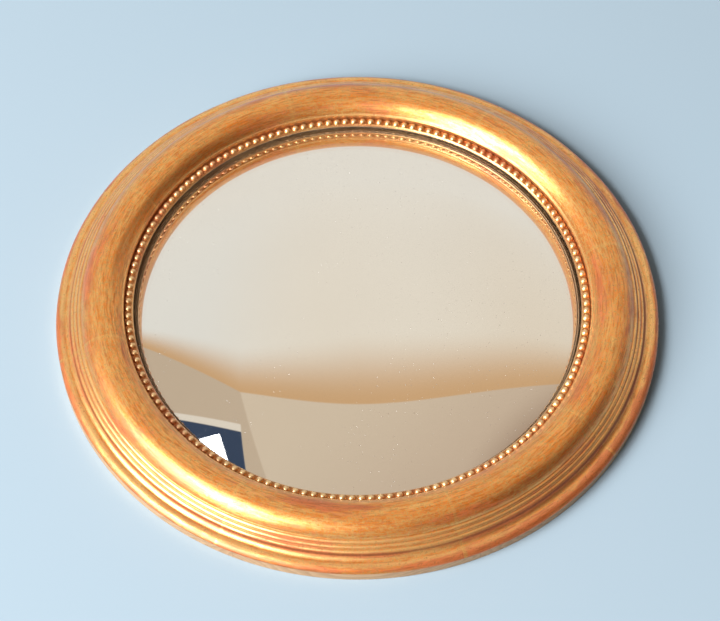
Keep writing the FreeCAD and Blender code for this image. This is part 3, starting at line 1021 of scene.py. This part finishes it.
steelValues = {
    "plate": (0.66, 0.64, 0.58),
    "points": (0.48, 0.47, 0.45),
    "patchColour": (0.52, 0.50, 0.45),
    "rustColour": (0.22, 0.10, 0.04),
    "patchScale": 900.0,
    "patchShare": 0.5,
    "scratchScale": (400, 4000, 1500),
    "rust": (1.8, 0.22, 21.0),  # spacing, size, seed
    "rustShare": 0.5,
    "rustDull": 0.6,
    "roughness": 0.30,
    "scratchRoughness": 0.22,
    "relief": (0.25, 0.03),  # strength, depth in millimetres
}


def steelMaterial(name, tint):
    # pale, dull and lightly scratched, with a little rust
    v = steelValues
    material, g = newMaterial(name)
    patch = cellShade(g, v["patchScale"])
    scratches = g.noise(g.vector("MULTIPLY", g.place(), v["scratchScale"]), 1.0, 4.0)
    rust = specksOf(g, *v["rust"])
    colour = g.mix(g.times(patch, v["patchShare"]), tint, v["patchColour"])
    surface(g, g.node("BsdfPrincipled", {
        "Base Color": g.mix(g.times(rust, v["rustShare"]), colour, v["rustColour"]),
        "Metallic": g.minus(1.0, g.times(rust, v["rustDull"])),
        "Roughness": g.plus(v["roughness"], g.times(scratches, v["scratchRoughness"])),
        "Normal": g.bump(scratches, *v["relief"])}))
    return material


def paintNode(name, material):
    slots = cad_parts[name].data.materials
    slots.clear()
    slots.append(material)


wood = woodMaterial()
plate = steelMaterial("zincPlate", steelValues["plate"])
pointSteel = steelMaterial("pointSteel", steelValues["points"])
cork = corkMaterial()
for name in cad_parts:
    if name.startswith("frame_segment") or name == "joint_splines":
        paintNode(name, wood)
    elif name.startswith("packing_strip"):
        paintNode(name, cork)
    elif name.startswith("hanger"):
        paintNode(name, plate)
paintNode("backing_board", boardMaterial())
paintNode("framing_points", pointSteel)
print("materials made")


# floor, light and camera
stageValues = {
    "floorColour": (0.483, 0.605, 0.692),
    "floorMottle": (0.52, 0.62, 0.70),
    "mottleScale": 3.0,
    "mottleSpan": (0.3, 0.7),
    "mottleShare": 0.12,
    "floorRoughness": 0.9,
    "floorShine": 0.06,
    "floorSize": 6.0,
    "floorOpening": 188.2,  # under the mirror, so that its back shows from below
    "floorSides": 96,
    "lampCorner": (-83.8, -100.1, 17.5),  # the lamp's corner lies on this ray
    "lampCornerWay": (-0.5623, -0.0831, 0.8228),
    "lampAcross": (-0.508, 0.0295, -0.864),  # directions of the lamp's two sides
    "lampDown": (0.214, -0.926, -0.54),
    "lampDistance": 5.0,
    "lampWidth": 2.73,
    "lampHeight": 3.41,
    "lampPower": 385.0,
    "lampColour": (0.97, 0.985, 1.0),
    "skyLevel": 0.28,
    "skyBelow": 0.9,  # under the floor, where only the back is lit
    "skyColour": (1.0, 0.985, 0.965),
    "skyDimSpan": (-0.1, 0.8),
    "skyDimShare": 0.93,
    "backdrop": (0.60, 0.71, 0.80),
}


def makeFloor():
    v = stageValues
    material, g = newMaterial("paleFloor")
    mottle = g.span(g.noise(g.place(), v["mottleScale"], 4.0), *v["mottleSpan"])
    colour = g.mix(g.times(mottle, v["mottleShare"]), v["floorColour"], v["floorMottle"])
    shader = g.node("BsdfPrincipled", {
        "Base Color": colour, "Roughness": v["floorRoughness"], "Specular IOR Level": v["floorShine"]})
    behind = g.node("NewGeometry").node.outputs["Backfacing"]
    surface(g, g.node("MixShader", {0: behind, 1: shader, 2: g.node("BsdfTransparent")}))
    turn = np.arange(v["floorSides"]) * math.tau / v["floorSides"]
    ring = np.column_stack([np.cos(turn), np.sin(turn), 0 * turn])
    corners = np.vstack([ring * v["floorOpening"] * mm, ring * v["floorSize"] / 2])
    mesh = bpy.data.meshes.new("floor")
    mesh.from_pydata(corners, [], ringFaces(2, v["floorSides"], closed=False))
    mesh.materials.append(material)
    floor = bpy.data.objects.new("floor", mesh)
    bpy.context.collection.objects.link(floor)


def makeLamp():
    # one corner of the lamp is set where the mirror shows it from the camera
    v = stageValues
    away = Vector(v["lampCornerWay"])
    across, down = Vector(v["lampAcross"]).normalized(), Vector(v["lampDown"])
    down = (down - across * down.dot(across)).normalized()
    corner = Vector(v["lampCorner"]) * mm + away * v["lampDistance"]
    light = bpy.data.lights.new("softLamp", "AREA")
    light.shape = "RECTANGLE"
    light.size, light.size_y = v["lampWidth"], v["lampHeight"]
    light.energy = v["lampPower"]
    light.color = v["lampColour"]
    lamp = bpy.data.objects.new("softLamp", light)
    middle = corner + across * v["lampWidth"] / 2 + down * v["lampHeight"] / 2
    facing = across.cross(down)
    if facing.dot(middle) < 0:
        facing, across = -facing, -across
    turn = Matrix((across, facing.cross(across), facing)).transposed()
    lamp.matrix_world = Matrix.Translation(middle) @ turn.to_4x4()
    bpy.context.collection.objects.link(lamp)
    print("lamp at", [round(c, 3) for c in middle], "facing", [round(c, 3) for c in facing])


roomValues = {
    "cream": (0.80, 0.725, 0.615),
    "creamFar": (0.80, 0.755, 0.68),
    "creamLeft": (0.785, 0.76, 0.70),
    "creamRight": (0.76, 0.665, 0.54),
    "tan": (0.62, 0.385, 0.20),
    "wall": (0.66, 0.54, 0.405),
    "wallFar": (0.57, 0.44, 0.325),
    "sideWall": (0.56, 0.44, 0.32),
    "rim": (0.76, 0.68, 0.57),
    "frame": (0.045, 0.065, 0.11),
    "darkWay": (0.875, -0.408, 0.259),  # the dim side of the room
    "dark": (0.125, 0.036, 0.008),
    "darkSpan": (0.70, 0.93),
    # slopes: of the direction over its height, across the room and along it
    "lowest": 0.05,
    "blur": 0.004,
    "archCurve": 0.1764,  # where the wall meets the ceiling, as an arch
    "archRound": 0.0303,
    "archDrop": 0.196,
    "sideLine": (-0.70, -0.289),
    "leftShade": 0.8,
    "leftSpan": (-0.1, -0.9),
    "rightSpan": (0.2, 1.0),
    "tanSpan": (0.0, 0.36),
    "farSpan": (0.3, 2.4),
    "wallSpan": (-0.2, 1.0),
    "cornerLean": 0.228,
    "cornerPlace": 0.52,
    "cornerBlur": 0.006,
    "frameCorner": (1.051, 0.099),
    "frameLean": (-0.320, 0.947),
    "frameSide": -0.549,
    "frameEnd": (0.9, 1.3),
    "rimWidth": (0.032, 0.040),
    "frameFade": (0.5, 0.7),
}


def makeRoom(g):
    # what the gilding and the glass mirror: a pale room, by the direction's slopes across and along
    v = roomValues
    blur = (-v["blur"], v["blur"])
    way = g.node("TexCoord", output="Generated")
    x, y, z = g.parts(way)
    low = g.larger(z, v["lowest"])
    across, along = g.over(x, low), g.over(y, low)

    arch = g.math("SQRT", g.math("MULTIPLY_ADD", g.times(across, across), v["archCurve"], v["archRound"]))
    side = g.math("MULTIPLY_ADD", across, *v["sideLine"])
    above = g.minus(along, g.larger(g.minus(arch, v["archDrop"]), side))
    left = g.larger(g.minus(0.0, across), 0.0)
    shade = g.times(above, g.math("MULTIPLY_ADD", left, v["leftShade"], 1.0))
    cream = g.mix(g.span(across, *v["leftSpan"]), v["cream"], v["creamLeft"])
    cream = g.mix(g.span(across, *v["rightSpan"]), cream, v["creamRight"])
    ceiling = g.mix(g.span(shade, *v["tanSpan"]), v["tan"], cream)
    ceiling = g.mix(g.span(above, *v["farSpan"], smooth=False), ceiling, v["creamFar"])

    wall = g.mix(g.span(g.minus(across, along), *v["wallSpan"]), v["wall"], v["wallFar"])
    beside = g.plus(g.math("MULTIPLY_ADD", along, v["cornerLean"], across), v["cornerPlace"])
    wall = g.mix(g.span(beside, -v["cornerBlur"], v["cornerBlur"]), v["sideWall"], wall)

    (cornerAcross, cornerAlong), (leanAcross, leanAlong) = v["frameCorner"], v["frameLean"]
    below = g.minus(
        g.times(g.plus(across, cornerAcross), leanAcross), g.times(g.minus(along, cornerAlong), leanAlong))
    past = g.minus(v["frameSide"], across)
    inside = g.times(g.span(past, *blur), g.outside(past, *v["frameEnd"]))
    frameShade = g.times(g.span(below, *v["rimWidth"]), g.outside(below, *v["frameFade"]))
    wall = g.mix(g.times(g.span(below, *blur), inside), wall, v["rim"])
    wall = g.mix(g.times(frameShade, inside), wall, v["frame"])

    room = g.mix(g.span(above, *blur), wall, ceiling)
    dim = g.span(g.vector("DOT_PRODUCT", way, v["darkWay"], output=1), *v["darkSpan"])
    return g.node("Background", {"Color": g.mix(dim, room, v["dark"])})


def makeWorld():
    v = stageValues
    world = bpy.data.worlds.new("studio")
    bpy.context.scene.world = world
    world.use_nodes = True
    world.node_tree.nodes.clear()
    g = Graph(world.node_tree)
    way = g.node("TexCoord", output="Generated")
    dim = g.span(g.vector("DOT_PRODUCT", way, roomValues["darkWay"], output=1), *v["skyDimSpan"])
    level = g.times(g.minus(1.0, g.times(dim, v["skyDimShare"])), v["skyLevel"])
    level = g.choose(g.math("LESS_THAN", g.parts(way)[2], 0.0), level, v["skyBelow"])
    plain = g.node("Background", {"Color": v["skyColour"], "Strength": level})
    backdrop = g.node("Background", {"Color": v["backdrop"]})
    seen = g.node("LightPath")
    shiny = g.larger(seen.node.outputs["Is Glossy Ray"], seen.node.outputs["Is Transmission Ray"])
    light = g.node("MixShader", {0: shiny, 1: plain, 2: makeRoom(g)})
    surface(g, g.node("MixShader", {0: seen, 1: light, 2: backdrop}), "World")


cameraValues = {
    "place": (1.6, -752.3, 1094.1),
    "target": (1.6, -10.3, 16.6),
    "lens": 105.0,
    "sensor": 36.0,
    "roll": 0.19,  # degrees
}


def makeCamera():
    v = cameraValues
    data = bpy.data.cameras.new("camera")
    data.lens, data.sensor_width = v["lens"], v["sensor"]
    camera = bpy.data.objects.new("camera", data)
    place, target = Vector(v["place"]) * mm, Vector(v["target"]) * mm
    camera.location = place
    look = (target - place).to_track_quat("-Z", "Y")
    camera.rotation_mode = "QUATERNION"
    camera.rotation_quaternion = look @ Quaternion((0, 0, 1), math.radians(v["roll"]))
    bpy.context.collection.objects.link(camera)
    bpy.context.scene.camera = camera


makeFloor()
makeLamp()
makeWorld()
makeCamera()
bpy.context.scene.view_settings.view_transform = "Standard"
print("floor, light and camera made")
